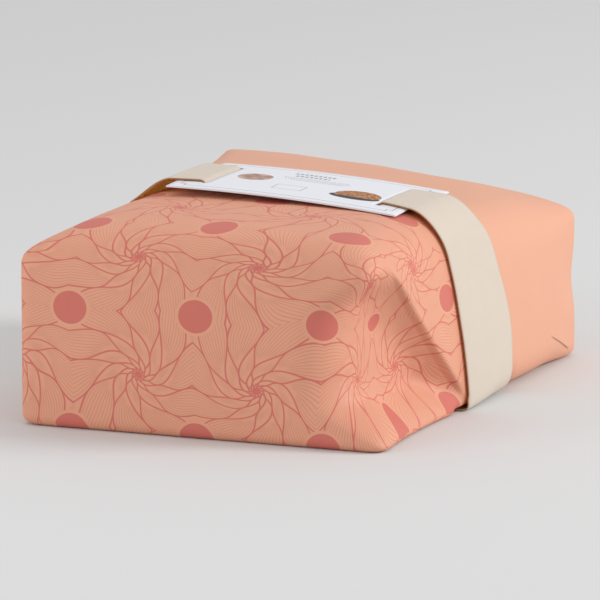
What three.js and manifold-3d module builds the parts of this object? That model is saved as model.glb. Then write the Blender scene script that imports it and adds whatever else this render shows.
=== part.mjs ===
// A gift-wrapped Easter cake pack: a soft paper parcel, a cotton band round its middle, and
// a card label that the band is threaded through.
// Millimetres, +Z up. The printed end faces -Y, and the origin is on the floor under the
// middle of the parcel.
import * as THREE from "three";
import { mergeVertices } from "three/addons/utils/BufferGeometryUtils.js";
import Module from "manifold-3d";

// ---- Driving dimensions ----
const LENGTH = 334; // along Y, from the printed end to the plain end
const WIDTH = 240; // along X
const CORNER_HEIGHT = { frontLeft: 107.5, frontRight: 114, backLeft: 118, backRight: 94.5 };
const CROWN = { height: 13.2, acrossPower: 4, alongPower: 6 }; // the top's swell over its corners
const PLAN_OVERREACH = 1.1; // the top's slope runs on this far, in half sizes of the plan
const TOP_COSINE = { parcel: 0.95, band: 0.97 }; // turns height over a sloping top into distance
const SIDE_LEAN = { left: 14.5, right: 16.5 }; // of the long sides at the shoulder, mid-length
const LEAN_HEIGHT = 110;
const SIDE_SWELL = 1.4; // how far the long sides swell out at mid-length
const SWELL_PER_MM = 0.08; // and how much more towards the back
const LEFT_SWELL_HEIGHT = 100; // the left side swells only low down

// How far the left side comes in towards the printed end, and where that starts.
const LEFT_FRONT_INSET = { depth: 4.5, fromMiddle: 20 };

const EDGE_ROUNDING = {
  upright: 12,
  uprightRearLeft: 7,
  shoulder: 30,
  shoulderRight: 20, // of the right side at mid-length
  rightFrom: 0.4, // where that starts and how far it takes, in half widths
  rightFade: 0.4,
  topCorner: 6,
  floor: 7,
  floorMidRear: 22, // the floor edge is softer behind the band
};
const SOFT_FLOOR = { from: -34, fade: 70, to: 105, endFade: 60 }; // where it is softer, along Y

// The sunk front right corner, below a diagonal crease on the right side. Its fades are the
// heights over which it dies out below the crease's top and above the floor.
const CREASE = { topFromFront: 27, topHeight: 113, endFromFront: 132, endHeight: 13 };
const DENT = { depth: 19, stepWidth: 27, topFade: 32, floorFade: 28 };
const REAR_LEFT_SPREAD = 1.3; // how suddenly the shoulder tightens there, less being sooner
const CORNER_SPREAD = 3; // and at the other corners
const SUNK_CORNER = {
  rounding: 84,
  stretch: 0.9, // how much further the rounding reaches along the side than along the front
  topFade: 52,
  floorFade: 40,
  shoulder: 34,
};

const BAND = {
  centre: -1,
  thickness: 1.2,
  gap: 0.85,
  shoulder: { left: 29, right: 19 },
  floorShare: 0.8, // its rounding at the floor, as a share of the parcel's
  sideSlack: 0.4,
  landing: { start: 3, length: 24 }, // past the label's end, where it comes down to the parcel
  towardsLabel: { from: 35, fade: 60 }, // heights over which it shifts to the label's middle
};
// Half the band's width at its fullest and at the slits, and what it loses elsewhere.
const BAND_HALF_WIDTH = {
  full: 34,
  slit: { left: 28, right: 25.5 },
  gather: { from: 90, fade: 30, run: 40 },
  high: { loss: 2.5, from: 50, fade: 35 },
  floor: { loss: 3, fade: 45 },
};
const GROOVE = { depth: 2.4, halfWidth: 39, fade: 9 };

const LABEL = {
  length: 148,
  width: 92,
  thickness: 1,
  centreX: 6.5,
  centreY: -6,
  height: 126.5, // underside at its middle
  fall: 4.4, // drop from the middle to the right end, and rise to the left end
  sag: 2.1, // drop of both ends below the middle
  crossSag: 0.8,
};
const SLIT = { fromMiddle: 56, halfGap: 6.5, length: 63, bandRun: 6 };
const SLIT_CUTTER_HEIGHT = 30;
const LAYER_GAP = 0.6; // between the band and the label where they lie on each other

const COLOUR = { paper: 0xf0b094, cotton: 0xece1d3, card: 0xeff0f6 };

// ---- Mesh fineness ----
const PARCEL_CELLS = [28, 40, 15];
const EDGE_CELL = 0.3; // width of a parcel cell at an edge, as a share of the even width
const BAND_STEPS = 160;
const BAND_EDGE_STEPS = 8;
const LABEL_CELLS = [28, 8, 1];

const CORE = { x: 65, y: 112, low: 40, high: 62 }; // inside every surface, the rays start here
const RAY_REACH = 1.6; // in spans from a ray's start to its aim
const BISECTIONS = 34;

// ---- Small maths ----
const clamp = THREE.MathUtils.clamp;
const mix = THREE.MathUtils.lerp;
const smooth = (t) => THREE.MathUtils.smoothstep(t, 0, 1);

/** The larger of two distances, rounded where they are less than `rounding` apart. */
function roundedMax(a, b, rounding) {
  const near = Math.max(rounding - Math.abs(a - b), 0);
  return Math.max(a, b) + (near * near) / (4 * rounding);
}

/** The point on the ray from `start` through `aim` where `distance` turns positive. */
function castOut(start, aim, distance) {
  const reach = aim.clone().sub(start);
  let inside = 0;
  let outside = RAY_REACH;
  for (let i = 0; i < BISECTIONS; i++) {
    const middle = (inside + outside) / 2;
    const p = start.clone().addScaledVector(reach, middle);
    if (distance(p.x, p.y, p.z) < 0) inside = middle;
    else outside = middle;
  }
  return start.clone().addScaledVector(reach, outside);
}

// ---- The parcel's form ----

/** Height of the soft top over a point of the plan. */
function topHeight(x, y) {
  const across = clamp(x / (WIDTH / 2), -PLAN_OVERREACH, PLAN_OVERREACH);
  const along = clamp(y / (LENGTH / 2), -PLAN_OVERREACH, PLAN_OVERREACH);
  const right = (across + 1) / 2;
  const back = (along + 1) / 2;
  const front = mix(CORNER_HEIGHT.frontLeft, CORNER_HEIGHT.frontRight, right);
  const rear = mix(CORNER_HEIGHT.backLeft, CORNER_HEIGHT.backRight, right);
  const { height, acrossPower, alongPower } = CROWN;
  const crown = height * (1 - across ** acrossPower) * (1 - along ** alongPower);
  return mix(front, rear, back) + crown;
}

/** How far a long side leans in at this height, most at mid-length. */
function lean(y, z, most) {
  const along = clamp(y / (LENGTH / 2), -1, 1);
  return most * (1 - along * along) * (z / LEAN_HEIGHT) ** 2;
}

/** How far a long side swells out between its ends. */
function swell(y) {
  const along = clamp(y / (LENGTH / 2), -1, 1);
  return (SIDE_SWELL + SWELL_PER_MM * y) * (1 - along * along);
}

/** Distance below the diagonal crease, on the right side. */
function pastCrease(y, z) {
  const run = CREASE.endFromFront - CREASE.topFromFront;
  const drop = CREASE.topHeight - CREASE.endHeight;
  const fromFront = y + LENGTH / 2 - CREASE.topFromFront;
  const below = CREASE.topHeight - z;
  return (below * run - fromFront * drop) / Math.hypot(run, drop);
}

/** How sunk a point is, from 0 on the crease to 1 below it, dying out at top and floor. */
function sunk(y, z, { topFade, floorFade }) {
  const left = 1 - clamp(pastCrease(y, z) / DENT.stepWidth, 0, 1);
  return (1 - left ** 3) * smooth((CREASE.topHeight - z) / topFade) * smooth(z / floorFade);
}

/** X of the right side. */
function rightSide(y, z) {
  const upright = WIDTH / 2 + swell(y) - lean(y, z, SIDE_LEAN.right);
  return upright - DENT.depth * sunk(y, z, DENT);
}

/** -X of the left side. */
function leftSide(y, z) {
  const low = 1 - smooth(z / LEFT_SWELL_HEIGHT);
  const { depth, fromMiddle } = LEFT_FRONT_INSET;
  const inset = depth * smooth((-y - fromMiddle) / (LENGTH / 2 - fromMiddle));
  return WIDTH / 2 + swell(y) * low - lean(y, z, SIDE_LEAN.left) - inset;
}

/** Rounding of the edge along the floor, softest between the band and the plain end. */
function floorRounding(y) {
  const { from, fade, to, endFade } = SOFT_FLOOR;
  const rear = smooth((y - from) / fade) * (1 - smooth((y - to) / endFade));
  return mix(EDGE_ROUNDING.floor, EDGE_ROUNDING.floorMidRear, rear);
}

/** Rounding of the top's edge, tight at all corners but the sunk one. */
function shoulderRounding(x, y) {
  const { shoulder, shoulderRight, rightFrom, rightFade, topCorner } = EDGE_ROUNDING;
  const across = x / (WIDTH / 2);
  const along = y / (LENGTH / 2);
  const onRight = smooth((across - rightFrom) / rightFade) * Math.max(1 - along * along, 0);
  const side = mix(shoulder, shoulderRight, onRight);
  const spread = x < 0 && y > 0 ? REAR_LEFT_SPREAD : CORNER_SPREAD;
  const corner = clamp(Math.abs(across * along), 0, 1) ** spread;
  const tight = x > 0 && y < 0 ? SUNK_CORNER.shoulder : topCorner;
  return mix(side, tight, corner);
}

/** Rise of the underside where the band passes under the parcel. */
function groove(y) {
  const past = (Math.abs(y - BAND.centre) - GROOVE.halfWidth) / GROOVE.fade;
  return GROOVE.depth * (1 - smooth(past));
}

/** Signed distance-like value outside the four upright sides. */
function sidesDistance(x, y, z) {
  const cornerSunk = x > 0 && y < 0 ? sunk(y, z, SUNK_CORNER) : 0;
  const right = (x - rightSide(y, z)) * (1 + SUNK_CORNER.stretch * cornerSunk);
  const left = -x - leftSide(y, z);
  const rearRounding = x < 0 ? EDGE_ROUNDING.uprightRearLeft : EDGE_ROUNDING.upright;
  const rear = roundedMax(y - LENGTH / 2, Math.max(right, left), rearRounding);
  const rounding = mix(EDGE_ROUNDING.upright, SUNK_CORNER.rounding, cornerSunk);
  return roundedMax(rear, -y - LENGTH / 2, rounding);
}

/** Signed distance-like value outside the wrapped parcel. */
function parcelDistance(x, y, z) {
  const top = (z - topHeight(x, y)) * TOP_COSINE.parcel;
  const upper = roundedMax(sidesDistance(x, y, z), top, shoulderRounding(x, y));
  return roundedMax(upper, groove(y) - z, floorRounding(y));
}

// ---- The label's form ----

/** A point of the plan in the label's own length and width. */
function onLabel(x, y) {
  return { along: x - LABEL.centreX, across: y - LABEL.centreY };
}

/** Height of the label's underside. */
function labelUnderside(x, y) {
  const { along, across } = onLabel(x, y);
  const a = along / (LABEL.length / 2);
  const b = across / (LABEL.width / 2);
  return LABEL.height - LABEL.fall * a - LABEL.sag * a * a - LABEL.crossSag * b * b;
}

// ---- The band's form ----

/** 0 between the slits, where the band is under the label, and 1 beyond them. */
function overLabel(x, y) {
  const past = Math.abs(onLabel(x, y).along) - SLIT.fromMiddle;
  return smooth(past / SLIT.bandRun + 0.5);
}

/** Height of the band's underside on top of the parcel. */
function bandTop(x, y) {
  const onParcel = topHeight(x, y);
  const card = labelUnderside(x, y);
  const under = card - LAYER_GAP - BAND.thickness - BAND.gap;
  const over = card + LABEL.thickness + LAYER_GAP - BAND.gap;
  const { start, length } = BAND.landing;
  const pastEnd = smooth((Math.abs(onLabel(x, y).along) - LABEL.length / 2 - start) / length);
  const past = overLabel(x, y);
  return mix(mix(under, over, past), onParcel, pastEnd * past);
}

/** Signed distance-like value outside the loop that the band follows. */
function loopDistance(x, y, z) {
  const right = x - rightSide(y, z) - BAND.sideSlack;
  const left = -x - leftSide(y, z);
  const top = (z - bandTop(x, y)) * TOP_COSINE.band;
  const shoulder = x < 0 ? BAND.shoulder.left : BAND.shoulder.right;
  const upper = roundedMax(Math.max(right, left), top, shoulder);
  return roundedMax(
    upper,
    BAND.thickness + BAND.gap - z,
    floorRounding(y) * BAND.floorShare,
  );
}

// ---- Pieces ----

/** A geometry whose vertices are moved by `place`, with shared vertices merged. */
function reshaped(geometry, place) {
  geometry.deleteAttribute("normal");
  geometry.deleteAttribute("uv");
  const merged = mergeVertices(geometry, 1e-4);
  const position = merged.getAttribute("position");
  const p = new THREE.Vector3();
  for (let i = 0; i < position.count; i++) {
    place(p.fromBufferAttribute(position, i));
    position.setXYZ(i, p.x, p.y, p.z);
  }
  return merged;
}

/** A place along a box's side from -1 to 1, moved so that cells are narrower at the edges. */
function towardsEdge(t) {
  const spare = (1 - EDGE_CELL) / 2;
  return t * (1 + spare - spare * t * t);
}

function parcelGeometry() {
  const half = new THREE.Vector3(WIDTH, LENGTH, LEAN_HEIGHT).multiplyScalar(0.5);
  const box = new THREE.BoxGeometry(2, 2, 2, ...PARCEL_CELLS);
  return reshaped(box, (p) => {
    p.set(towardsEdge(p.x), towardsEdge(p.y), towardsEdge(p.z)).multiply(half);
    p.z += half.z;
    const start = new THREE.Vector3(
      clamp(p.x, -CORE.x, CORE.x),
      clamp(p.y, -CORE.y, CORE.y),
      clamp(p.z, CORE.low, CORE.high),
    );
    p.copy(castOut(start, p, parcelDistance));
  });
}

/** Half the band's width: gathered at the slits, fullest low on the sides. */
function bandHalfWidth(x, z) {
  const { full, slit, gather, high, floor } = BAND_HALF_WIDTH;
  const fromMiddle = x - LABEL.centreX;
  const right = clamp(0.5 + fromMiddle / (2 * SLIT.fromMiddle), 0, 1);
  const pastSlit = smooth((Math.abs(fromMiddle) - SLIT.fromMiddle) / gather.run);
  const gathered = smooth((z - gather.from) / gather.fade) * (1 - pastSlit);
  const highLoss = high.loss * smooth((z - high.from) / high.fade);
  const floorLoss = floor.loss * (1 - smooth(z / floor.fade));
  return mix(full - highLoss - floorLoss, mix(slit.left, slit.right, right), gathered);
}

/** Y of the band's middle line: it comes to the label's own middle on top. */
function bandMiddle(z) {
  const { from, fade } = BAND.towardsLabel;
  return mix(BAND.centre, LABEL.centreY, smooth((z - from) / fade));
}

/** A rectangle round the parcel's cross-section, walked at an even pace. */
function loopPath() {
  const right = WIDTH / 2;
  const top = LEAN_HEIGHT;
  const middle = top / 2;
  const corners = [
    [right, middle],
    [right, top],
    [-right, top],
    [-right, 0],
    [right, 0],
    [right, middle],
  ];
  return new THREE.Path(corners.map(([x, z]) => new THREE.Vector2(x, z)));
}

function bandGeometry() {
  const radius = 2;
  const tube = 1;
  const ring = new THREE.TorusGeometry(radius, tube, BAND_EDGE_STEPS, BAND_STEPS);
  const loop = loopPath();
  return reshaped(ring, (p) => {
    const around = THREE.MathUtils.euclideanModulo(Math.atan2(p.y, p.x) / (2 * Math.PI), 1);
    const section = Math.atan2(p.z, Math.hypot(p.x, p.y) - radius);
    const aside = clamp(-Math.SQRT2 * Math.sin(section), -1, 1);
    const outward = clamp(Math.SQRT2 * Math.cos(section), -1, 1);
    const onPath = loop.getPointAt(around);
    const aim = new THREE.Vector3(onPath.x, 0, onPath.y);
    const start = new THREE.Vector3(clamp(aim.x, -CORE.x, CORE.x), 0, LEAN_HEIGHT / 2);
    const layer = BAND.gap + (BAND.thickness * (outward + 1)) / 2;
    const shell = (y) => (x, _, z) => loopDistance(x, y, z) - layer;
    const guess = castOut(start, aim, shell(BAND.centre));
    const y = bandMiddle(guess.z) + aside * bandHalfWidth(guess.x, guess.z);
    p.copy(castOut(start, aim, shell(y)));
    p.y = y;
  });
}

function labelPlate() {
  const { length, width, thickness } = LABEL;
  const card = new THREE.BoxGeometry(length, width, thickness, ...LABEL_CELLS);
  return reshaped(card, (p) => {
    const lift = p.z + thickness / 2;
    p.x += LABEL.centreX;
    p.y += LABEL.centreY;
    p.z = labelUnderside(p.x, p.y) + lift;
  });
}

function slitCutter(side) {
  const cutter = new THREE.BoxGeometry(2 * SLIT.halfGap, SLIT.length, SLIT_CUTTER_HEIGHT);
  cutter.translate(LABEL.centreX + side * SLIT.fromMiddle, LABEL.centreY, LABEL.height);
  return reshaped(cutter, () => {});
}

// ---- Cutting ----
const wasm = await Module();
wasm.setup();

function solidOf(geometry) {
  const vertProperties = geometry.getAttribute("position").array;
  const triVerts = new Uint32Array(geometry.index.array);
  return new wasm.Manifold(new wasm.Mesh({ numProp: 3, vertProperties, triVerts }));
}

function geometryOf(solid) {
  const { vertProperties, triVerts } = solid.getMesh();
  const geometry = new THREE.BufferGeometry();
  geometry.setAttribute("position", new THREE.BufferAttribute(vertProperties, 3));
  geometry.setIndex(new THREE.BufferAttribute(triVerts, 1));
  geometry.computeVertexNormals();
  return geometry;
}

function labelGeometry() {
  const cut = [-1, 1].reduce(
    (card, side) => card.subtract(solidOf(slitCutter(side))),
    solidOf(labelPlate()),
  );
  return geometryOf(cut);
}

function mesh(name, geometry, color, roughness) {
  geometry.computeVertexNormals();
  const material = new THREE.MeshStandardMaterial({ color, roughness, metalness: 0 });
  const piece = new THREE.Mesh(geometry, material);
  piece.name = name;
  return piece;
}

const pack = new THREE.Group();
pack.add(
  mesh("parcel", parcelGeometry(), COLOUR.paper, 0.6),
  mesh("band", bandGeometry(), COLOUR.cotton, 0.9),
  mesh("label", labelGeometry(), COLOUR.card, 0.5),
);

export default pack;
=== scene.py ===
"""Looks of a gift-wrapped Easter cake pack: soft paper parcel, cotton band and card label.

The pack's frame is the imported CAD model. Lengths in this file are millimetres until a mesh
is finished, and metres after that.
"""

from __future__ import annotations

import logging
import math
from collections.abc import Callable
from dataclasses import dataclass, field
from enum import Enum
from typing import NamedTuple, TypeAlias

import bmesh
import bpy
import numpy as np
from mathutils import Matrix, Vector, noise

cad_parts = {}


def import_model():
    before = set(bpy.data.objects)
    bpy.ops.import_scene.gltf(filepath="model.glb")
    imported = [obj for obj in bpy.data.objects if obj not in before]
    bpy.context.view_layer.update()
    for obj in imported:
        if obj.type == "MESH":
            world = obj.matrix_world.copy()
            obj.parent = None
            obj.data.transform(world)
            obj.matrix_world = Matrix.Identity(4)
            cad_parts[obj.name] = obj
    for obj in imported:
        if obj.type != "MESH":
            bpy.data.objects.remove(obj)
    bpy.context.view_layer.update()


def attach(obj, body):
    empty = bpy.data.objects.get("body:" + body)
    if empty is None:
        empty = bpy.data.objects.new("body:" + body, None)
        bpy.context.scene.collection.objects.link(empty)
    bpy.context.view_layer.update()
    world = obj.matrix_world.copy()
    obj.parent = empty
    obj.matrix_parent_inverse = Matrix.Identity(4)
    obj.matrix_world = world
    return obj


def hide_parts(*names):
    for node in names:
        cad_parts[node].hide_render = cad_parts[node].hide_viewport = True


LOG = logging.getLogger("cake_pack")
METRE = 0.001
WRAP_MAP = "wrap"
OWN_PLACE = "own"
RAY_REACH = 1.6
HALVINGS = 30
SAME_PLACE = 1e-4

Array = np.ndarray
Distance = Callable[[Array, Array, Array], Array]
Pair = tuple[float, float]
Stretch = Pair
Edge = Pair
Colour = tuple[float, float, float]
BMesh = bmesh.types.BMesh
Mesh = bpy.types.Mesh
Piece = bpy.types.Object
Socket = bpy.types.NodeSocket
Paint = Colour | Socket
Number: TypeAlias = "Value | float"


# ---- Small maths ----


def smooth(t: Array) -> Array:
    """The smooth step of a value clamped to 0 to 1."""
    t = np.clip(t, 0.0, 1.0)
    return t * t * (3.0 - 2.0 * t)


def rise(value: Array, stretch: Stretch) -> Array:
    """0 up to where a stretch starts, and smoothly up to 1 along its length."""
    start, length = stretch
    return smooth((value - start) / length)


def mix(a: Array, b: Array, share: Array) -> Array:
    """The value between a and b at a share of the way."""
    return a + (b - a) * share


def rounded_max(a: Array, b: Array, rounding: Array) -> Array:
    """The larger of two distances, rounded where they are close to each other."""
    near = np.maximum(rounding - np.abs(a - b), 0.0)
    return np.maximum(a, b) + near * near / (4.0 * rounding)


def linear(hex_colour: str) -> Colour:
    """A display colour such as 'f0b094' as linear light."""
    parts = [int(hex_colour[i : i + 2], 16) / 255.0 for i in (0, 2, 4)]
    return tuple(p / 12.92 if p <= 0.04045 else ((p + 0.055) / 1.055) ** 2.4 for p in parts)


def cast_out(start: Array, aim: Array, distance: Distance) -> Array:
    """Where rays leave a form.

    Args:
        start: Points inside the form, one row each.
        aim: Points that the rays pass through.
        distance: Negative inside the form and positive outside.

    Returns:
        The points on the surface, one row each.
    """
    reach = aim - start
    inside = np.zeros(len(start))
    outside = np.full(len(start), RAY_REACH)
    for _ in range(HALVINGS):
        middle = (inside + outside) / 2.0
        p = start + reach * middle[:, None]
        within = distance(p[:, 0], p[:, 1], p[:, 2]) < 0.0
        inside = np.where(within, middle, inside)
        outside = np.where(within, outside, middle)
    return start + reach * outside[:, None]


# ---- Forms, as in the CAD source ----


@dataclass(frozen=True)
class ParcelForm:
    """The soft parcel as a rounded meeting of its faces."""

    length: float = 334.0
    width: float = 240.0
    front_heights: Pair = (107.5, 114.0)
    back_heights: Pair = (118.0, 94.5)
    crown: float = 13.2
    crown_powers: tuple[int, int] = (4, 6)
    plan_overreach: float = 1.1
    top_cosine: float = 0.95
    leans: Pair = (14.5, 16.5)
    lean_height: float = 110.0
    side_swell: float = 1.4
    swell_per_mm: float = 0.08
    left_swell_height: float = 100.0
    upright_rounding: float = 12.0
    rear_left_upright_rounding: float = 7.0
    shoulder_rounding: float = 30.0
    right_shoulder_rounding: float = 20.0
    right_shoulder_rise: Stretch = (0.4, 0.4)
    corner_spread: float = 3.0
    rear_left_spread: float = 1.3
    top_corner_rounding: float = 6.0
    sunk_corner_rounding: float = 34.0
    floor_rounding: float = 7.0
    mid_rear_floor_rounding: float = 22.0
    soft_floor_rise: Stretch = (-34.0, 70.0)
    soft_floor_end: Stretch = (105.0, 60.0)
    left_front_inset: float = 4.5
    inset_from_middle: float = 20.0
    crease_top: Pair = (27.0, 113.0)
    crease_end: Pair = (132.0, 13.0)
    crease_step_width: float = 27.0
    dent_depth: float = 19.0
    dent_fades: Pair = (32.0, 28.0)
    corner_rounding: float = 84.0
    corner_stretch: float = 0.9
    corner_fades: Pair = (52.0, 40.0)
    groove_centre: float = -1.0
    groove_depth: float = 2.4
    groove_end: Stretch = (39.0, 9.0)

    def top_height(self, x: Array, y: Array) -> Array:
        """Height of the soft top over points of the plan."""
        reach = self.plan_overreach
        across = np.clip(x / (self.width / 2), -reach, reach)
        along = np.clip(y / (self.length / 2), -reach, reach)
        right, back = (across + 1) / 2, (along + 1) / 2
        front, rear = mix(*self.front_heights, right), mix(*self.back_heights, right)
        powers = self.crown_powers
        crown = self.crown * (1 - across ** powers[0]) * (1 - along ** powers[1])
        return mix(front, rear, back) + crown

    def bow(self, y: Array) -> Array:
        """1 half way along the parcel, and 0 at its ends."""
        along = np.clip(y / (self.length / 2), -1, 1)
        return 1 - along * along

    def lean(self, y: Array, z: Array, most: float) -> Array:
        """How far a long side leans in."""
        return most * self.bow(y) * (z / self.lean_height) ** 2

    def swell(self, y: Array) -> Array:
        """How far a long side swells out between its ends."""
        return (self.side_swell + self.swell_per_mm * y) * self.bow(y)

    def past_crease(self, y: Array, z: Array) -> Array:
        """Distance below the diagonal crease, on the right side."""
        run = self.crease_end[0] - self.crease_top[0]
        drop = self.crease_top[1] - self.crease_end[1]
        from_front = y + self.length / 2 - self.crease_top[0]
        below = self.crease_top[1] - z
        return (below * run - from_front * drop) / math.hypot(run, drop)

    def sunk(self, y: Array, z: Array, step_width: float, fades: Pair) -> Array:
        """How deep the dent is, from 0 on the crease to 1 below it."""
        share = np.clip(self.past_crease(y, z) / step_width, 0, 1)
        from_top = smooth((self.crease_top[1] - z) / fades[0])
        return (1 - (1 - share) ** 3) * from_top * smooth(z / fades[1])

    def right_side(self, y: Array, z: Array) -> Array:
        """X of the right side."""
        sunk = self.sunk(y, z, self.crease_step_width, self.dent_fades)
        upright = self.width / 2 + self.swell(y) - self.lean(y, z, self.leans[1])
        return upright - self.dent_depth * sunk

    def left_side(self, y: Array, z: Array) -> Array:
        """X of the left side, turned positive."""
        low = 1 - smooth(z / self.left_swell_height)
        start = self.inset_from_middle
        inset = self.left_front_inset * smooth((-y - start) / (self.length / 2 - start))
        return self.width / 2 + self.swell(y) * low - self.lean(y, z, self.leans[0]) - inset

    def floor_edge(self, y: Array) -> Array:
        """Rounding of the edge along the floor, softest between the band and the plain end."""
        rear = rise(y, self.soft_floor_rise) * (1 - rise(y, self.soft_floor_end))
        return mix(self.floor_rounding, self.mid_rear_floor_rounding, rear)

    def shoulder(self, x: Array, y: Array) -> Array:
        """Rounding of the top's edge, tight at all corners but the sunk one."""
        across, along = x / (self.width / 2), y / (self.length / 2)
        on_right = rise(across, self.right_shoulder_rise) * self.bow(y)
        side = mix(self.shoulder_rounding, self.right_shoulder_rounding, on_right)
        spread = np.where((x < 0) & (y > 0), self.rear_left_spread, self.corner_spread)
        corner = np.clip(np.abs(across * along), 0, 1) ** spread
        tight = np.where((x > 0) & (y < 0), self.sunk_corner_rounding, self.top_corner_rounding)
        return mix(side, tight, corner)

    def groove(self, y: Array) -> Array:
        """Rise of the underside over the band."""
        return self.groove_depth * (1 - rise(np.abs(y - self.groove_centre), self.groove_end))

    def sides_distance(self, x: Array, y: Array, z: Array) -> Array:
        """Distance outside the four upright sides."""
        half = self.length / 2
        sunk = self.sunk(y, z, self.crease_step_width, self.corner_fades)
        sunk = np.where((x > 0) & (y < 0), sunk, 0.0)
        right = (x - self.right_side(y, z)) * (1 + self.corner_stretch * sunk)
        left = -x - self.left_side(y, z)
        corner = np.where(x < 0, self.rear_left_upright_rounding, self.upright_rounding)
        rear = rounded_max(y - half, np.maximum(right, left), corner)
        rounding = mix(self.upright_rounding, self.corner_rounding, sunk)
        return rounded_max(rear, -y - half, rounding)

    def distance(self, x: Array, y: Array, z: Array) -> Array:
        """Distance outside the parcel."""
        top = (z - self.top_height(x, y)) * self.top_cosine
        upper = rounded_max(self.sides_distance(x, y, z), top, self.shoulder(x, y))
        return rounded_max(upper, self.groove(y) - z, self.floor_edge(y))


@dataclass(frozen=True)
class LabelForm:
    """The card label's place and curve."""

    length: float = 148.0
    width: float = 92.0
    thickness: float = 1.0
    centre: Pair = (6.5, -6.0)
    height: float = 126.5
    fall: float = 4.4
    sag: float = 2.1
    cross_sag: float = 0.8
    slit_from_middle: float = 56.0
    slit_half_gap: float = 1.7
    slit_length: float = 59.0

    def own_place(self, x: Array, y: Array) -> tuple[Array, Array]:
        """A point of the plan as its place along and across the label."""
        return x - self.centre[0], y - self.centre[1]

    def underside(self, x: Array, y: Array) -> Array:
        """Height of the label's underside."""
        along, across = self.own_place(x, y)
        a, b = along / (self.length / 2), across / (self.width / 2)
        return self.height - self.fall * a - self.sag * a * a - self.cross_sag * b * b


@dataclass(frozen=True)
class BandForm:
    """The cotton band's loop."""

    parcel: ParcelForm
    label: LabelForm
    centre: float = -1.0
    half_width: float = 34.0
    high_loss: float = 2.5
    high_rise: Stretch = (50.0, 35.0)
    floor_loss: float = 3.0
    floor_fade: float = 45.0
    slit_half_widths: Pair = (28.0, 25.5)
    gather_rise: Stretch = (90.0, 30.0)
    gather_run: float = 40.0
    shift_rise: Stretch = (35.0, 60.0)
    card_gap: float = 1.2
    room: float = 0.85
    shoulders: Pair = (29.0, 19.0)
    floor_share: float = 0.8
    floor_height: float = 1.2
    top_cosine: float = 0.97
    side_slack: float = 0.4
    slit_run: float = 4.5
    landing: Stretch = (3.0, 24.0)
    lift: float = 0.45

    def over_label(self, x: Array, y: Array) -> Array:
        """0 between the slits and 1 beyond them."""
        along, _ = self.label.own_place(x, y)
        return smooth((np.abs(along) - self.label.slit_from_middle) / self.slit_run + 0.5)

    def top(self, x: Array, y: Array) -> Array:
        """Height of the band's underside on top of the parcel, before its room."""
        card = self.label.underside(x, y)
        under = card - self.card_gap - self.lift - self.room
        over = card + self.label.thickness + self.lift - self.room
        along, _ = self.label.own_place(x, y)
        from_end = np.abs(along) - self.label.length / 2
        past_end = rise(from_end, self.landing)
        past = self.over_label(x, y)
        return mix(mix(under, over, past), self.parcel.top_height(x, y), past_end * past)

    def distance(self, x: Array, y: Array, z: Array) -> Array:
        """Distance outside the loop that the band follows."""
        right = x - self.parcel.right_side(y, z) - self.side_slack
        left = -x - self.parcel.left_side(y, z)
        top = (z - self.top(x, y)) * self.top_cosine
        upper = rounded_max(np.maximum(right, left), top, np.where(x < 0, *self.shoulders))
        floor_edge = self.parcel.floor_edge(y) * self.floor_share
        return rounded_max(upper, self.floor_height + self.room - z, floor_edge)

    def half_width_at(self, x: Array, z: Array) -> Array:
        """Half the band's width: gathered at the slits, fullest low on the sides."""
        top = rise(z, self.gather_rise)
        from_middle, slit = x - self.label.centre[0], self.label.slit_from_middle
        right = np.clip(0.5 + from_middle / (2 * slit), 0, 1)
        gathered = mix(*self.slit_half_widths, right)
        past = rise(np.abs(from_middle), (slit, self.gather_run))
        high = self.high_loss * rise(z, self.high_rise)
        low = self.floor_loss * (1 - smooth(z / self.floor_fade))
        return mix(self.half_width - high - low, gathered, top * (1 - past))

    def middle(self, z: Array) -> Array:
        """Y of the band's middle line, which comes to the label's own middle on top."""
        return mix(self.centre, self.label.centre[1], rise(z, self.shift_rise))


# ---- Shader maths ----


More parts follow.
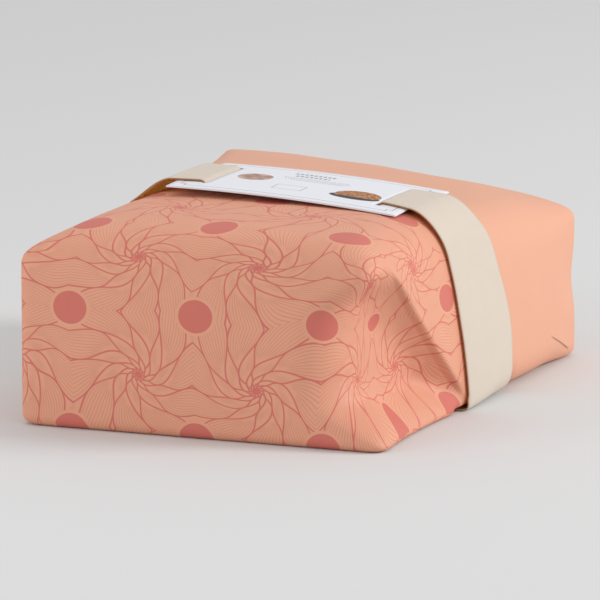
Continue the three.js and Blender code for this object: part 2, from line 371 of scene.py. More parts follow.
class Value:
    """A number socket with arithmetic that adds Math nodes."""

    def __init__(self, sheet: NodeSheet, socket: Socket) -> None:
        """Wraps a socket of a sheet."""
        self.sheet = sheet
        self.socket = socket

    def _made(self, kind: str, settings: dict, *numbers: Number) -> Value:
        """The output of a node that takes these numbers in this order."""
        made = self.sheet.node(kind, settings, dict(enumerate(numbers)))
        return Value(self.sheet, made.outputs[0])

    def math(self, operation: str, *others: Number) -> Value:
        """A Math node of this value and others."""
        return self._made("ShaderNodeMath", {"operation": operation}, self, *others)

    def _turned(self, operation: str, other: float) -> Value:
        """A Math node with this value as its second number."""
        return self._made("ShaderNodeMath", {"operation": operation}, other, self)

    def __add__(self, other: Number) -> Value:
        """Sum."""
        return self.math("ADD", other)

    __radd__ = __add__

    def __sub__(self, other: Number) -> Value:
        """Difference."""
        return self.math("SUBTRACT", other)

    def __rsub__(self, other: float) -> Value:
        """Difference from a number."""
        return self._turned("SUBTRACT", other)

    def __mul__(self, other: Number) -> Value:
        """Product."""
        return self.math("MULTIPLY", other)

    __rmul__ = __mul__

    def __truediv__(self, other: Number) -> Value:
        """Quotient."""
        return self.math("DIVIDE", other)

    def __rtruediv__(self, other: float) -> Value:
        """A number divided by this value."""
        return self._turned("DIVIDE", other)

    def __pow__(self, other: Number) -> Value:
        """Power."""
        return self.math("POWER", other)

    def __abs__(self) -> Value:
        """Size without its sign."""
        return self.math("ABSOLUTE")

    def least(self, other: Number) -> Value:
        """The smaller of two values."""
        return self.math("MINIMUM", other)

    def most(self, other: Number) -> Value:
        """The larger of two values."""
        return self.math("MAXIMUM", other)

    def step(self, low: float, high: float) -> Value:
        """A smooth step from 0 at low to 1 at high, which may be the smaller number."""
        ends = (high, low, 1.0, 0.0) if low > high else (low, high, 0.0, 1.0)
        settings = {"interpolation_type": "SMOOTHSTEP"}
        return self._made("ShaderNodeMapRange", settings, self, *ends)

    def under(self, limit: float, blur: float) -> Value:
        """1 under the limit of an edge and 0 over it, blurred by so much each way."""
        return self.step(limit + blur, limit - blur)

    def to_nearest(self) -> Value:
        """Signed distance to the nearest whole number."""
        return self - self.math("ROUND")


class NodeSheet:
    """The node tree of one material."""

    def __init__(self, name: str) -> None:
        """Makes an empty material of that name."""
        self.material = bpy.data.materials.new(name)
        self.material.use_nodes = True
        self.tree = self.material.node_tree
        self.tree.nodes.clear()

    def node(self, kind: str, settings: dict, inputs: dict) -> bpy.types.Node:
        """Adds any node.

        Args:
            kind: The node's type.
            settings: Attributes set first. 'stops' holds a ramp's places and colours.
            inputs: Socket name or number to a value, a Value, a socket or a colour.

        Returns:
            The new node.
        """
        made = self.tree.nodes.new(kind)
        for name, value in settings.items():
            if name == "stops":
                ramp = made.color_ramp.elements
                for index, (place, colour) in enumerate(value):
                    stop = ramp[index] if index < len(ramp) else ramp.new(place)
                    stop.position, stop.color = place, (*colour, 1.0)
            else:
                setattr(made, name, value)
        for key, value in inputs.items():
            socket = made.inputs[key]
            if isinstance(value, Value):
                self.tree.links.new(value.socket, socket)
            elif isinstance(value, Socket):
                self.tree.links.new(value, socket)
            elif isinstance(value, tuple) and len(value) == 3 and socket.type == "RGBA":
                socket.default_value = (*value, 1.0)
            else:
                socket.default_value = value
        return made

    def _parts(self, place: Socket) -> list[Value]:
        """A vector's X, Y and Z."""
        made = self.node("ShaderNodeSeparateXYZ", {}, {0: place})
        return [Value(self, part) for part in made.outputs]

    def object_place(self) -> tuple[Socket, Value, Value, Value]:
        """Object coordinates as a vector and as X, Y and Z in metres."""
        place = self.node("ShaderNodeTexCoord", {}, {}).outputs["Object"]
        return place, *self._parts(place)

    def wrap_place(self) -> tuple[Socket, Value, Value]:
        """The piece's own flat map as a vector and as its two places in millimetres."""
        place = self.node("ShaderNodeUVMap", {"uv_map": WRAP_MAP}, {}).outputs[0]
        return place, *self._parts(place)[:2]

    def noise(self, place: Socket, scale: float, detail: float = 2.0) -> Value:
        """Cloudy noise from 0 to 1."""
        inputs = {"Vector": place, "Scale": scale, "Detail": detail}
        return Value(self, self.node("ShaderNodeTexNoise", {}, inputs).outputs[0])

    def blend(self, share: Value, low: Paint, high: Paint) -> Socket:
        """Two colours mixed by a share."""
        inputs = {0: share, 6: low, 7: high}
        made = self.node("ShaderNodeMix", {"data_type": "RGBA"}, inputs)
        return made.outputs[2]

    def tinted(self, colour: Paint, shade: Value) -> Socket:
        """A colour made lighter or darker."""
        inputs = {"Color": colour, "Value": shade}
        return self.node("ShaderNodeHueSaturation", {}, inputs).outputs[0]

    def finish(
        self, inputs: dict, bump: Value | None = None, depth: float = 0.0
    ) -> bpy.types.Material:
        """Adds the surface shader.

        Args:
            inputs: Its sockets.
            bump: A height from 0 to 1 that roughens the surface.
            depth: The height's size in metres.

        Returns:
            The finished material.
        """
        if bump is not None:
            links = {"Height": bump, "Distance": depth, "Strength": 1.0}
            inputs = {**inputs, "Normal": self.node("ShaderNodeBump", {}, links).outputs[0]}
        surface = self.node("ShaderNodeBsdfPrincipled", {}, inputs)
        self.node("ShaderNodeOutputMaterial", {}, {0: surface.outputs[0]})
        return self.material


@dataclass(frozen=True)
class PetalPrint:
    """Flower heads of veined petals, with plain discs between them.

    The heads stand on a square net, each the mirror image of its neighbours, and each looks
    the same after a quarter turn, so the print runs on over the parcel's edges.
    """

    net: float = 80.0
    origin: Pair = (-120.0, 120.0)
    rows: int = 20
    veins: int = 5
    line_edge: Edge = (0.525, 0.14)
    vein_edge: Edge = (0.2, 0.12)
    disc_edge: Edge = (10.8, 0.15)
    halo: Pair = (12.6, 13.0)
    swirl: float = 0.62
    petal_pace: float = 0.6
    petal_start: float = 0.5
    stray: float = 13.0
    stray_scales: Pair = (14.0, 15.82)
    vein_fade: Pair = (0.55, 1.1)
    hand_blur: float = 0.0001
    inner_edge: Edge = (0.0, 0.001)
    least_width: float = 0.001
    least_size: float = 0.01

    def masks(self, sheet: NodeSheet) -> tuple[Value, Value, Value]:
        """Shares of petal outline, fine vein and disc at a point of the paper."""
        place, *_ = sheet.object_place()
        _, u, v = sheet.wrap_place()
        du, dv = u - self.origin[0], v - self.origin[1]
        stray_u, stray_v = (
            (sheet.noise(place, scale, 1.0) - 0.5) * (2 * self.stray)
            for scale in self.stray_scales
        )
        across, along = (du + stray_u) / self.net, (dv + stray_v) / self.net
        cell = across.math("ROUND") + along.math("ROUND")
        hand = abs((cell / 2).to_nearest()) * 4 - 1.0
        x, y = across.to_nearest() * hand, along.to_nearest()
        size = (x * x + y * y).math("SQRT").most(self.least_size)
        line, vein = self._petals(y.math("ARCTAN2", x), size)

        x, y = (du / self.net - 0.5).to_nearest(), (dv / self.net - 0.5).to_nearest()
        from_disc = (x * x + y * y).math("SQRT") * self.net
        clear = from_disc.step(*self.halo)
        return line * clear, vein * clear, from_disc.under(*self.disc_edge)

    def _petals(self, angle: Value, size: Value) -> tuple[Value, Value]:
        """Outlines and veins of one flower head, from the angle and the share of its cell."""
        reach = size.math("LOGARITHM", math.e)
        per_turn = self.rows / (2 * math.pi)
        side = ((angle + reach * self.swirl) * (per_turn / 2)).to_nearest()
        away = abs(side) * 2
        turn = (reach * self.petal_pace + self.petal_start) * (2 * math.pi)
        half = turn.math("COSINE") * 0.5 + 0.5
        edge = away - half
        hand = side.step(-self.hand_blur, self.hand_blur) * 2 - 1.0
        lean = hand * (self.swirl * per_turn)
        lean = lean + turn.math("SINE") * (math.pi * self.petal_pace)
        steep = (lean * lean + per_turn * per_turn).math("SQRT") / (size * self.net)
        line = (abs(edge) / steep).under(*self.line_edge)
        inner = edge.under(*self.inner_edge)
        wide = (half * inner + (1.0 - half) * (1.0 - inner)).most(self.least_width)
        within = (away * inner + (1.0 - away) * (1.0 - inner)) / wide * self.veins
        strip = wide / (steep * self.veins)
        vein = (abs(within.to_nearest()) * strip).under(*self.vein_edge)
        return line, vein * strip.step(*self.vein_fade)


@dataclass(frozen=True)
class EndFolds:
    """The two flaps folded over the plain end, the lower one over the upper one."""

    half_width: float = 117.0
    height: float = 112.0
    lower_top: float = 74.0
    upper_bottom: float = 46.0
    upper_share: float = 0.45
    steepness: float = 1.15
    cut_blur: float = 0.5
    face: Pair = (0.157, 0.163)

    def height_at(self, x: Value, y: Value, z: Value) -> Value:
        """Height of the folded layers, from 0 to 1."""
        aside, up = abs(x / METRE), z / METRE
        lower = self._flap(aside, up, self.lower_top)
        upper = self._flap(aside, self.height - up, self.height - self.upper_bottom)
        layers = (upper * self.upper_share * (1.0 - lower) + lower).least(1.0)
        return layers * y.step(*self.face)

    def _flap(self, aside: Value, up: Value, top: float) -> Value:
        """One flap, from its full width at the pack's edge to a straight cut."""
        slope = (self.half_width - aside) * self.steepness - up
        return slope.least(top - up).step(-self.cut_blur, self.cut_blur)


@dataclass(frozen=True)
class PressedFold:
    """A straight fold pressed into the right side, a low ridge with a steep lower side.

    It starts and ends at a Y and a Z, rises and drops over its two runs, and comes and goes
    between distances from its start. Its height is in shares of the paper's relief.
    """

    start: Pair
    end: Pair
    runs: Pair
    height: float
    comes: Pair
    goes: Pair
    side: Pair = (70.0, 80.0)

    def height_at(self, x: Value, y: Value, z: Value) -> Value:
        """Height of the ridge."""
        run, drop = self.end[0] - self.start[0], self.start[1] - self.end[1]
        span = math.hypot(run, drop)
        behind, below = y / METRE - self.start[0], self.start[1] - z / METRE
        past = below * (run / span) - behind * (drop / span)
        along = behind * (run / span) + below * (drop / span)
        ridge = past.step(-self.runs[0], 0.0) * past.step(self.runs[1], 0.0)
        shown = along.step(*self.comes) * along.step(*self.goes)
        return ridge * shown * (x / METRE).step(*self.side) * self.height


@dataclass(frozen=True)
class WrappingPaper:
    """Satin-matt peach paper, printed on its front half, with painted shade where the band
    covers it.
    """

    form: ParcelForm
    plain: Colour = linear("e2a78b")
    printed: Colour = linear("e2a284")
    ink: Colour = linear("d07265")
    vein_ink: Colour = linear("d08270")
    # Painted shade: a dark orange-brown for the paper under the band, standing in for the shaded
    # gaps beside the band.
    painted_shade_under_band: Colour = linear("cb7b50")
    vein_share: float = 0.75
    print_edge: Edge = (-0.006, 0.0002)
    band_start: Pair = (-0.033, -0.03)
    band_end: Pair = (0.031, 0.028)
    band_shade_share: float = 0.8
    cloud_scale: float = 26.0
    cloud_tint: float = 0.05
    cloud_roughness: float = 0.08
    ink_scale: float = 900.0
    ink_roughness: float = 0.04
    grain_scale: float = 1400.0
    grain_share: float = 0.05
    roughness: float = 0.5
    relief: float = 0.0006

    def material(self) -> bpy.types.Material:
        """The paper's material."""
        sheet = NodeSheet("wrapping_paper")
        place, x, y, z = sheet.object_place()
        line, vein, disc = PetalPrint().masks(sheet)
        ink_uneven = sheet.noise(place, self.ink_scale, 1.0)
        ground = sheet.blend(vein * self.vein_share, self.printed, self.vein_ink)
        ground = sheet.blend(line.most(disc), ground, self.ink)
        colour = sheet.blend(y.under(*self.print_edge), self.plain, ground)
        # Painted shade under the band: between band_start and band_end the paper is blended
        # toward the dark orange-brown.
        band_shade_mask = y.step(*self.band_start) * y.step(*self.band_end)
        colour = sheet.blend(band_shade_mask * self.band_shade_share, colour, self.painted_shade_under_band)
        cloud = sheet.noise(place, self.cloud_scale, 3.0)
        shade = cloud * self.cloud_tint + (1.0 - self.cloud_tint / 2)
        rough = cloud * self.cloud_roughness + self.roughness
        inputs = {
            "Base Color": sheet.tinted(colour, shade),
            "Roughness": rough + ink_uneven * self.ink_roughness,
            "Specular IOR Level": 0.35,
        }
        grain = sheet.noise(place, self.grain_scale)
        folds = EndFolds().height_at(x, y, z)
        for fold in self._pressed_folds():
            folds = folds + fold.height_at(x, y, z)
        return sheet.finish(inputs, grain * self.grain_share + folds, self.relief)

    def _pressed_folds(self) -> tuple[PressedFold, ...]:
        """The fold along the sunk corner's crease and the short one at the back foot."""
        half, top, end = self.form.length / 2, self.form.crease_top, self.form.crease_end
        corner = PressedFold(
            start=(top[0] - half, top[1]),
            end=(end[0] - half, end[1]),
            runs=(14.0, 3.0),
            height=3.4,
            comes=(13.0, 42.0),
            goes=(152.0, 129.0),
        )
        foot = PressedFold(
            start=(101.0, 24.0),
            end=(144.0, 7.3),
            runs=(3.5, 1.8),
            height=2.0,
            comes=(0.0, 8.0),
            goes=(46.0, 38.0),
        )
        return corner, foot


@dataclass(frozen=True)
class CottonCloth:
    """Plain-woven cotton, which may let light through."""

    name: str
    colour: Colour
    light_through: float = 0.0
    light_reach: float = 0.006
    reach_by_colour: Colour = (1.0, 0.55, 0.42)
    thread: float = 0.42
    thread_share: float = 0.25
    crossing_share: float = 0.4
    darkest: float = 0.92
    cloud_scale: float = 0.06
    slub_scale: Colour = (0.08, 1.6, 1.0)
    weave_tint: float = 0.06
    cloud_tint: float = 0.05
    weave_depth: float = 0.00012

    def material(self) -> bpy.types.Material:
        """The cloth's material."""
        sheet = NodeSheet(self.name)
        wrap, u, v = sheet.wrap_place()
        pace = 2 * math.pi / self.thread
        warp, weft = (u * pace).math("SINE"), (v * pace).math("SINE")
        over = (u * pace / 2).math("SINE") * (v * pace / 2).math("SINE")
        weave = (warp + weft) * self.thread_share + over * self.crossing_share
        weave = weave * 0.5 + 0.5
        cloud = sheet.noise(wrap, self.cloud_scale, 3.0)
        slub = sheet.node("ShaderNodeMapping", {}, {"Vector": wrap, "Scale": self.slub_scale})
        streak = sheet.noise(slub.outputs[0], 1.0)
        shade = weave * self.weave_tint + (cloud + streak) * self.cloud_tint + self.darkest
        inputs = {
            "Base Color": sheet.tinted(self.colour, shade),
            "Roughness": 0.9,
            "Specular IOR Level": 0.2,
            "Sheen Weight": 0.15,
            "Subsurface Weight": self.light_through,
            "Subsurface Scale": self.light_reach,
            "Subsurface Radius": self.reach_by_colour,
        }
        return sheet.finish(inputs, weave, self.weave_depth)


class BandSide(Enum):
    """The cloth on each side of the band; the tan of its edges and inside is painted shade, and
    the inside is also lit through from outside.
    """

    OUTER = CottonCloth("cotton_band", linear("d6c9ba"))
    # Painted shade: the tan edge stands in for the thin shadow along the band's edges.
    EDGE = CottonCloth("band_edge_painted_shade", linear("b98a66"))
    # Painted shade: the warm tan inside stands in for the shaded gap between band and paper; the
    # light through the cloth is real.
    PAINTED_SHADE_INSIDE = CottonCloth("band_inside_painted_shade", linear("dfb080"), light_through=1.0)


class Spot(NamedTuple):
    """A place on the label, with half the length and width of what stands there."""

    along: float
    across: float
    half_length: float
    half_width: float


@dataclass(frozen=True)
class LabelCard:
    """White card with a thin inset border and simple printed shapes."""

    label: LabelForm
    card: Colour = linear("e8e9f0")
    line_ink: Colour = linear("6f6660")
    ink_shares: tuple[float, ...] = (0.8, 0.75, 0.7)
    border_line: Edge = (0.32, 0.1)
    border_insets: Pair = (5.5, 6.5)
    corner_step: float = 3.5
    box: Spot = Spot(-5.5, -17.0, 9.3, 6.3)
    box_line: Edge = (0.3, 0.1)
    bars: tuple[tuple[float, Spot], ...] = (
        (3.0, Spot(-6.5, 28.5, 13.5, 2.0)),
        (3.0, Spot(-5.0, 21.0, 11.0, 2.0)),
        (1.7, Spot(0.0, 14.5, 21.5, 0.6)),
        (1.7, Spot(2.0, 11.0, 21.5, 0.6)),
        (1.7, Spot(3.0, 7.5, 17.0, 0.6)),
    )
    bar_blur: float = 0.2
    bar_edge: Edge = (0.32, 0.04)
    oval_edge: Edge = (1.0, 0.03)
    board: Colour = linear("26201f")
    board_place: Spot = Spot(37.0, -18.0, 16.0, 7.0)
    loaf: Spot = Spot(37.5, -13.0, 14.5, 13.0)
    loaf_foot: Pair = (-18.5, -17.5)
    crust: tuple[tuple[float, Colour], ...] = (
        (0.3, linear("5b3318")),
        (0.5, linear("a8672f")),
        (0.75, linear("e3b278")),
    )
    crumb_scale: float = 0.45
    foil: Colour = linear("d9a07c")
    foil_shade: Colour = linear("8f5d43")
    foil_place: Spot = Spot(-36.0, 4.0, 11.0, 11.0)
    foil_scale: float = 0.12
    foil_shades: Pair = (0.35, 0.65)
    grain_scale: float = 2.2
    grain_depth: float = 0.00002

    def material(self) -> bpy.types.Material:
        """The label's material."""
        sheet = NodeSheet("label_card")
        place, a, b = sheet.wrap_place()
        colour: Paint = self.card
        marks = (self._border(a, b), self._bar_rows(a, b), self._box(a, b))
        for mark, share in zip(marks, self.ink_shares):
            colour = sheet.blend(mark * share, colour, self.line_ink)
        crumb = sheet.noise(place, self.crumb_scale, 3.0)
        crust = sheet.node("ShaderNodeValToRGB", {"stops": self.crust}, {0: crumb})
        colour = sheet.blend(self._oval(a, b, self.board_place), colour, self.board)
        loaf = self._oval(a, b, self.loaf) * b.step(*self.loaf_foot)
        colour = sheet.blend(loaf, colour, crust.outputs[0])
        foil = self._oval(a, b, self.foil_place)
        brushed = sheet.noise(place, self.foil_scale, 1.0).step(*self.foil_shades)
        shine = sheet.blend(brushed, self.foil, self.foil_shade)
        inputs = {
            "Base Color": sheet.blend(foil, colour, shine),
            "Roughness": 0.5 - foil * 0.2,
            "Metallic": foil * 0.55,
            "Specular IOR Level": 0.4,
        }
        return sheet.finish(inputs, sheet.noise(place, self.grain_scale), self.grain_depth)

    def _border(self, a: Value, b: Value) -> Value:
        """A thin line inset from the edge, stepped in at the corners."""
        half_a = self.label.length / 2 - self.border_insets[0]
        half_b = self.label.width / 2 - self.border_insets[1]
        wide, deep = abs(a), abs(b)
        frame = (wide - half_a).most(deep - half_b)
        step = self.corner_step
        corner = (wide - (half_a - step)).least(deep - (half_b - step))
        return abs(frame.most(corner)).under(*self.border_line)

    def _oval(self, a: Value, b: Value, spot: Spot) -> Value:
        """A filled oval."""
        along = (a - spot.along) / spot.half_length
        across = (b - spot.across) / spot.half_width
        return (along**2.0 + across**2.0).under(*self.oval_edge)

    def _bar_rows(self, a: Value, b: Value) -> Value:
        """Rows of short plain bars where a label has its words, each with its pitch."""
        total: Value | None = None
        for pitch, row in self.bars:
            drawn = abs(b - row.across).under(row.half_width, self.bar_blur)
            drawn = drawn * abs(a - row.along).under(row.half_length, self.bar_blur)
            drawn = drawn * abs((a / pitch).to_nearest()).under(*self.bar_edge)
            total = drawn if total is None else total.most(drawn)
        return total

    def _box(self, a: Value, b: Value) -> Value:
        """A small empty box."""
        beside = abs(a - self.box.along) - self.box.half_length
        beyond = abs(b - self.box.across) - self.box.half_width
        return abs(beside.most(beyond)).under(*self.box_line)


# ---- Pieces ----


def reshape(bm: BMesh, move: Callable[[Array], Array]) -> None:
    """Moves every vertex by a function of all their places."""
    places = np.array([vert.co[:] for vert in bm.verts])
    for vert, place in zip(bm.verts, move(places)):
        vert.co = place


def meshed(name: str, bm: BMesh) -> Mesh:
    """Turns a bmesh into a mesh and frees it."""
    mesh = bpy.data.meshes.new(name)
    bm.to_mesh(mesh)
    bm.free()
    return mesh


def placed(name: str, data: bpy.types.ID) -> Piece:
    """Puts a mesh, lamp or camera into the scene as an object."""
    made = bpy.data.objects.new(name, data)
    bpy.context.scene.collection.objects.link(made)
    return made


def finished(name: str, bm: BMesh, flat: Callable[[Mesh], Array]) -> Piece:
    """Turns a bmesh in millimetres into an object in metres.

    Args:
        name: The piece's name.
        bm: Its mesh, freed here.
        flat: Gives each corner's place on the piece's flat map.

    Returns:
        The object, at the origin.
    """
    mesh = meshed(name, bm)
    corners = flat(mesh)
    layer = mesh.uv_layers.new(name=WRAP_MAP)
    layer.data.foreach_set("uv", corners.astype(np.float32).ravel())
    mesh.transform(Matrix.Scale(METRE, 4))
    mesh.shade_smooth()
    return placed(name, mesh)


def mark_places(bm: BMesh) -> None:
    """Keeps the place that each vertex has now, for the piece's flat map."""
    own = bm.verts.layers.float_vector.new(OWN_PLACE)
    for vert in bm.verts:
        vert[own] = vert.co


def marked_places(mesh: Mesh) -> Array:
    """The kept place of each corner's vertex, which the mesh then loses."""
    index = np.zeros(len(mesh.loops), np.int32)
    mesh.loops.foreach_get("vertex_index", index)
    own = np.zeros(len(mesh.vertices) * 3, np.float32)
    mesh.attributes[OWN_PLACE].data.foreach_get("vector", own)
    mesh.attributes.remove(mesh.attributes[OWN_PLACE])
    return own.reshape(-1, 3)[index]


def thicken(bm: BMesh, thickness: float) -> None:
    """Gives an open surface its thickness."""
    everything = list(bm.faces) + list(bm.edges) + list(bm.verts)
    bmesh.ops.solidify(bm, geom=everything, thickness=thickness)


def towards_edge(t: Array, share: float) -> Array:
    """A place from -1 to 1, moved so that cells at the ends are that share as wide."""
    spare = (1 - share) / 2
    return t * (1 + spare - spare * t * t)


@dataclass(frozen=True)
class PaperParcel:
    """The wrapped parcel."""

    form: ParcelForm
    cells: tuple[int, int, int] = (136, 176, 74)
    edge_cell: float = 0.22
    flat_height: float = 120.0
    core: tuple[float, ...] = (65.0, 112.0, 40.0, 62.0)
    relief: float = 0.5
    wave_sizes: Pair = (46.0, 19.0)
    fine_share: float = 0.5
    pressed_share: float = 0.25
    free_rise: Stretch = (36.0, 14.0)
    plain_relief: float = 0.7
    plain_rise: Stretch = (40.0, 40.0)
    floor_rise: Stretch = (4.0, 22.0)
    edge_dip: float = 2.3
    edge_dip_height: float = 51.0
    edge_dip_half: float = 15.0
    edge_dip_rises: tuple[Stretch, Stretch] = ((75.0, 40.0), (115.0, 45.0))

    def build(self) -> Piece:
        """Makes the parcel."""
        bm = bmesh.new()
        for turn, cells in self._sides():
            bmesh.ops.create_grid(
                bm, x_segments=cells[0], y_segments=cells[1], size=1.0, matrix=turn
            )
        bmesh.ops.remove_doubles(bm, verts=bm.verts, dist=SAME_PLACE)
        mark_places(bm)
        reshape(bm, self._wrapped)
        piece = finished("paper_wrap", bm, self._corners)
        piece.data.materials.append(WrappingPaper(self.form).material())
        return piece

    def _sides(self) -> list[tuple[Matrix, tuple[int, int]]]:
        """Where each side's grid goes on a cube, and its cells."""
        nx, ny, nz = self.cells
        out = Matrix.Translation((0, 0, 1))
        turns = [(0, "X", (nx, ny)), (2, "X", (nx, ny)), (1, "X", (nx, nz))]
        turns += [(-1, "X", (nx, nz)), (1, "Y", (nz, ny)), (-1, "Y", (nz, ny))]
        quarter = math.pi / 2
        return [(Matrix.Rotation(n * quarter, 4, axis) @ out, cells) for n, axis, cells in turns]

    def _wrapped(self, cube: Array) -> Array:
        """Cube places moved onto the parcel, with the paper's slight unevenness."""
        half = np.array([self.form.width, self.form.length, self.form.lean_height]) / 2
        aim = towards_edge(cube, self.edge_cell) * half
        aim[:, 2] += half[2]
        core_x, core_y, low, high = self.core
        start = np.clip(aim, (-core_x, -core_y, low), (core_x, core_y, high))
        skin = cast_out(start, aim, self.form.distance)
        return skin + self._unevenness(skin, aim - start)

    def _unevenness(self, skin: Array, outward: Array) -> Array:
        """Slight waves of the paper, none at the floor and few under the band.

        The plain end has broad waves too.
        """
        outward = outward / np.linalg.norm(outward, axis=1)[:, None]
        broad, fine = (
            np.array([noise.noise(Vector(p) / size) for p in skin]) for size in self.wave_sizes
        )
        free = rise(np.abs(skin[:, 1] - self.form.groove_centre), self.free_rise)
        waves = self.relief * (broad + self.fine_share * fine)
        waves = waves * mix(self.pressed_share, 1.0, free)
        waves = waves + self.plain_relief * broad * rise(skin[:, 1], self.plain_rise)
        waves = waves - self._edge_dip_at(skin)
        return outward * (waves * rise(skin[:, 2], self.floor_rise))[:, None]

    def _edge_dip_at(self, skin: Array) -> Array:
        """How far the paper dips in half way up the upright edge at the back right."""
        x, y, z = skin.T
        up = np.exp(-(((z - self.edge_dip_height) / self.edge_dip_half) ** 2))
        near_right, near_back = self.edge_dip_rises
        return self.edge_dip * up * rise(x, near_right) * rise(y, near_back)

    def _corners(self, mesh: Mesh) -> Array:
        """Each corner's place on the paper, unfolded from a box of even height."""
        form = self.form
        flat = towards_edge(marked_places(mesh).astype(float), self.edge_cell)
        centres = flat.reshape(-1, 4, 3).mean(axis=1)
        side = np.repeat(np.argmax(np.abs(centres), axis=1), 4)
        sign = np.repeat(np.sign(centres[np.arange(len(centres)), side[::4]]), 4)
        x = flat[:, 0] * form.width / 2
        back = (flat[:, 1] + 1) * form.length / 2
        z = (flat[:, 2] + 1) * self.flat_height / 2
        u = np.where(side == 0, sign * (form.width / 2 + back), x)
        v = np.where(side == 2, np.where(sign > 0, self.flat_height + back, -back), z)
        return np.stack([u, v], axis=1)


@dataclass
class CottonBand:
    """The cotton band round the parcel and through the label."""

    form: BandForm
    steps: int = 460
    rows: int = 22
    thickness: float = 0.8
    clearance: float = 1.0
    weld: float = 0.02
    core_x: float = 65.0
    edge_cosine: float = 0.75
    inner_cosine: float = 0.35
    inner_height: float = 60.0
    loop_length: float = field(init=False, default=0.0)

    @property
    def girth(self) -> float:
        """Length round the rectangle that the band's flat map is walked on."""
        return 2 * (self.form.parcel.width + self.form.parcel.lean_height)

    def build(self) -> Piece:
        """Makes the band."""
        bm = bmesh.new()
        bmesh.ops.create_grid(bm, x_segments=self.steps, y_segments=self.rows, size=1.0)
        mark_places(bm)
        reshape(bm, self._looped)
        bmesh.ops.remove_doubles(bm, verts=bm.verts, dist=self.weld)
        bmesh.ops.recalc_face_normals(bm, faces=bm.faces)
        thicken(bm, self.thickness)
        bmesh.ops.recalc_face_normals(bm, faces=bm.faces)
        sides = list(BandSide)
        # Edge faces and faces turned in towards the parcel get the painted-shade tan cloths.
        for face in bm.faces:
            face.material_index = sides.index(self._side_of(face))
        piece = finished("cotton_band", bm, self._corners)
        for side in sides:
            piece.data.materials.append(side.value.material())
        return piece

    def _side_of(self, face: bmesh.types.BMFace) -> BandSide:
        """Which side of the band a face is on: edges and faces turned in towards the parcel get
        the painted-shade tan cloths.
        """
        if abs(face.normal.y) > self.edge_cosine:
            return BandSide.EDGE
        middle = face.calc_center_median()
        inward = Vector((-middle.x, 0.0, self.inner_height - middle.z)).normalized()
        faces_in = face.normal.dot(inward) > self.inner_cosine
        return BandSide.PAINTED_SHADE_INSIDE if faces_in else BandSide.OUTER

    def _looped(self, grid: Array) -> Array:
        """Grid places moved onto the loop's outer face."""
        form, parcel = self.form, self.form.parcel
        around, aside = (grid[:, 0] + 1) / 2, grid[:, 1]
        aim = self._on_rectangle(around)
        start_x = np.clip(aim[:, 0], -self.core_x, self.core_x)
        start_z = 0 * around + parcel.lean_height / 2
        start = np.stack([start_x, 0 * around, start_z], axis=1)
        layer = form.room + self.clearance

        def shell(y: Array | float) -> Distance:
            return lambda x, _, z: form.distance(x, y + 0 * x, z) - layer

        guess = cast_out(start, aim, shell(form.centre))
        y = form.middle(guess[:, 2])
        y = y + aside * form.half_width_at(guess[:, 0], guess[:, 2])
        loop = cast_out(start, aim, shell(y))
        loop[:, 1] = y
        middle = np.abs(aside) < SAME_PLACE
        steps = np.diff(loop[middle][np.argsort(around[middle])], axis=0)
        self.loop_length = float(np.linalg.norm(steps, axis=1).sum())
        return loop

    def _on_rectangle(self, around: Array) -> Array:
        """Places on a rectangle round the parcel, walked at an even pace."""
        parcel = self.form.parcel
        right, top = parcel.width / 2, parcel.lean_height
        start = [right, top / 2]
        corners = np.array([start, [right, top], [-right, top], [-right, 0], [right, 0], start])
        sides = np.linalg.norm(np.diff(corners, axis=0), axis=1)
        lengths = np.concatenate([[0], np.cumsum(sides)])
        walked = around * self.girth
        x = np.interp(walked, lengths, corners[:, 0])
        z = np.interp(walked, lengths, corners[:, 1])
        return np.stack([x, 0 * x, z], axis=1)

    def _corners(self, mesh: Mesh) -> Array:
        """Each corner's place along and across the band."""
        grid = marked_places(mesh)
        u = (grid[:, 0] + 1) / 2
        totals = np.zeros(len(mesh.polygons), np.int32)
        mesh.polygons.foreach_get("loop_total", totals)
        face = np.repeat(np.arange(len(totals)), totals)
        highest = np.full(len(totals), -1.0)
        np.maximum.at(highest, face, u)
        u = np.where(highest[face] - u > 0.5, u + 1, u)
        return np.stack([u * self.girth, grid[:, 1] * self.form.half_width], axis=1)


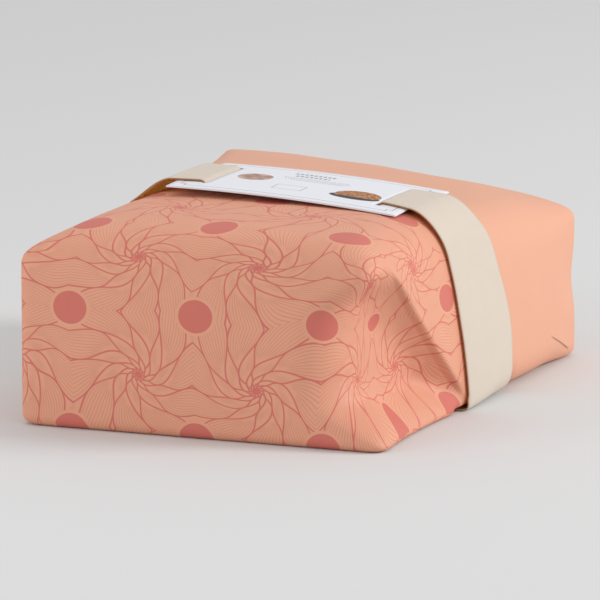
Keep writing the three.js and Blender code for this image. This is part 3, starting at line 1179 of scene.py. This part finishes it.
@dataclass(frozen=True)
class CardLabel:
    """The slotted card label."""

    form: LabelForm
    cells: tuple[int, int] = (54, 30)
    thickness: float = 0.9
    flat_cosine: float = 0.6

    def build(self) -> Piece:
        """Makes the label."""
        form = self.form
        bm = bmesh.new()
        size = Matrix.Diagonal((form.length / 2, form.width / 2, 1, 1))
        nx, ny = self.cells
        bmesh.ops.create_grid(bm, x_segments=nx, y_segments=ny, size=1.0, matrix=size)
        half, gap = form.slit_length / 2, form.slit_half_gap
        for side in (-1, 1):
            for edge in (-gap, gap):
                self._cut(bm, (side * form.slit_from_middle + edge, 0, 0), (1, 0, 0))
            self._cut(bm, (0, side * half, 0), (0, 1, 0))
        slit = [
            face
            for face in bm.faces
            if abs(abs(face.calc_center_median().x) - form.slit_from_middle) < gap
            and abs(face.calc_center_median().y) < half
        ]
        bmesh.ops.delete(bm, geom=slit, context="FACES")
        mark_places(bm)
        thicken(bm, self.thickness)
        reshape(bm, self._laid)
        bmesh.ops.recalc_face_normals(bm, faces=bm.faces)
        piece = finished("card_label", bm, self._corners)
        piece.data.materials.append(LabelCard(form).material())
        for polygon in piece.data.polygons:
            polygon.use_smooth = abs(polygon.normal.z) > self.flat_cosine
        return piece

    @staticmethod
    def _cut(bm: BMesh, place: tuple, normal: tuple) -> None:
        """Cuts the card's faces along a line."""
        bmesh.ops.bisect_plane(
            bm,
            geom=list(bm.verts) + list(bm.edges) + list(bm.faces),
            plane_co=place,
            plane_no=normal,
            dist=SAME_PLACE,
        )

    def _laid(self, card: Array) -> Array:
        """The flat card laid in its place and curved."""
        x, y = self.form.centre[0] + card[:, 0], self.form.centre[1] + card[:, 1]
        low = card[:, 2].min()
        return np.stack([x, y, self.form.underside(x, y) + card[:, 2] - low], axis=1)

    def _corners(self, mesh: Mesh) -> Array:
        """Each corner's place along and across the label."""
        return marked_places(mesh)[:, :2]


# ---- Studio ----


class Lamp(NamedTuple):
    """A soft lamp's place, its size and its power."""

    place: tuple[float, float, float]
    size: float
    power: float


class Light(Enum):
    """The studio's lamps."""

    KEY = Lamp((3.0, 0.9, 1.6), 1.4, 64.0)
    FILL = Lamp((-0.9, -0.95, 0.4), 0.7, 3.2)


@dataclass(frozen=True)
class Studio:
    """The floor, lights and camera."""

    target: Vector = field(default_factory=lambda: Vector((0.0, 0.0, 0.055)))
    yaw: float = 21.87
    elevation: float = 10.57
    distance: float = 3.4905
    field_of_view: float = 6.0
    frame_offset: Pair = (1.8, 1.1)
    pixels_per_metre: float = 1640.0
    sensor: float = 36.0
    sky: float = 0.72
    floor_half: float = 30.0
    floor_colour: Colour = (0.72, 0.72, 0.72)

    def build(self) -> None:
        """Makes the studio."""
        self._floor()
        self._sky()
        for light in Light:
            self._lamp(light)
        self._camera()
        settings = bpy.context.scene.view_settings
        settings.view_transform = "Standard"
        settings.look = "None"

    def _floor(self) -> None:
        """A wide pale floor just under the pack."""
        bm = bmesh.new()
        bmesh.ops.create_grid(bm, x_segments=1, y_segments=1, size=self.floor_half)
        floor = placed("studio_floor", meshed("studio_floor", bm))
        matt = {"Base Color": self.floor_colour, "Roughness": 1.0, "Specular IOR Level": 0.0}
        floor.data.materials.append(NodeSheet("studio_floor").finish(matt))

    def _sky(self) -> None:
        """Even light from all round."""
        world = bpy.data.worlds.new("studio")
        world.use_nodes = True
        background = world.node_tree.nodes["Background"]
        background.inputs["Color"].default_value = (1.0, 1.0, 1.0, 1.0)
        background.inputs["Strength"].default_value = self.sky
        bpy.context.scene.world = world

    def _lamp(self, light: Light) -> None:
        """One soft lamp aimed at the pack."""
        lamp = light.value
        data = bpy.data.lights.new(light.name.lower(), "AREA")
        data.shape = "DISK"
        data.size = lamp.size
        data.energy = lamp.power
        made = placed(light.name.lower(), data)
        made.location = lamp.place
        aim = self.target - Vector(lamp.place)
        made.rotation_euler = aim.to_track_quat("-Z", "Y").to_euler()

    def _camera(self) -> None:
        """A long lens from the front right, a little above."""
        yaw, tilt = math.radians(self.yaw), math.radians(self.elevation)
        level = math.cos(tilt)
        back = Vector((math.sin(yaw) * level, -math.cos(yaw) * level, math.sin(tilt)))
        turn = (-back).to_track_quat("-Z", "Y")
        shift = turn @ Vector((*self.frame_offset, 0.0))
        data = bpy.data.cameras.new("camera")
        data.sensor_width = self.sensor
        data.lens = self.sensor / 2 / math.tan(math.radians(self.field_of_view / 2))
        camera = placed("camera", data)
        camera.location = self.target + back * self.distance - shift / self.pixels_per_metre
        camera.rotation_mode = "QUATERNION"
        camera.rotation_quaternion = turn
        bpy.context.scene.camera = camera


def main() -> None:
    """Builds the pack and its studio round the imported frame."""
    logging.basicConfig(level=logging.INFO, format="%(name)s: %(message)s")
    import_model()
    Studio().build()
    parcel, label = ParcelForm(), LabelForm()
    band = CottonBand(BandForm(parcel, label))
    pieces = [
        (PaperParcel(parcel).build(), "parcel", "wrapping_paper"),
        (band.build(), "band", "cotton_band"),
        (CardLabel(label).build(), "label", "label_card"),
    ]
    for piece, node, slot in pieces:
        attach(piece, "root")
        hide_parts(node)
        LOG.info("%s: %d faces", piece.name, len(piece.data.polygons))


if __name__ == "__main__":
    main()
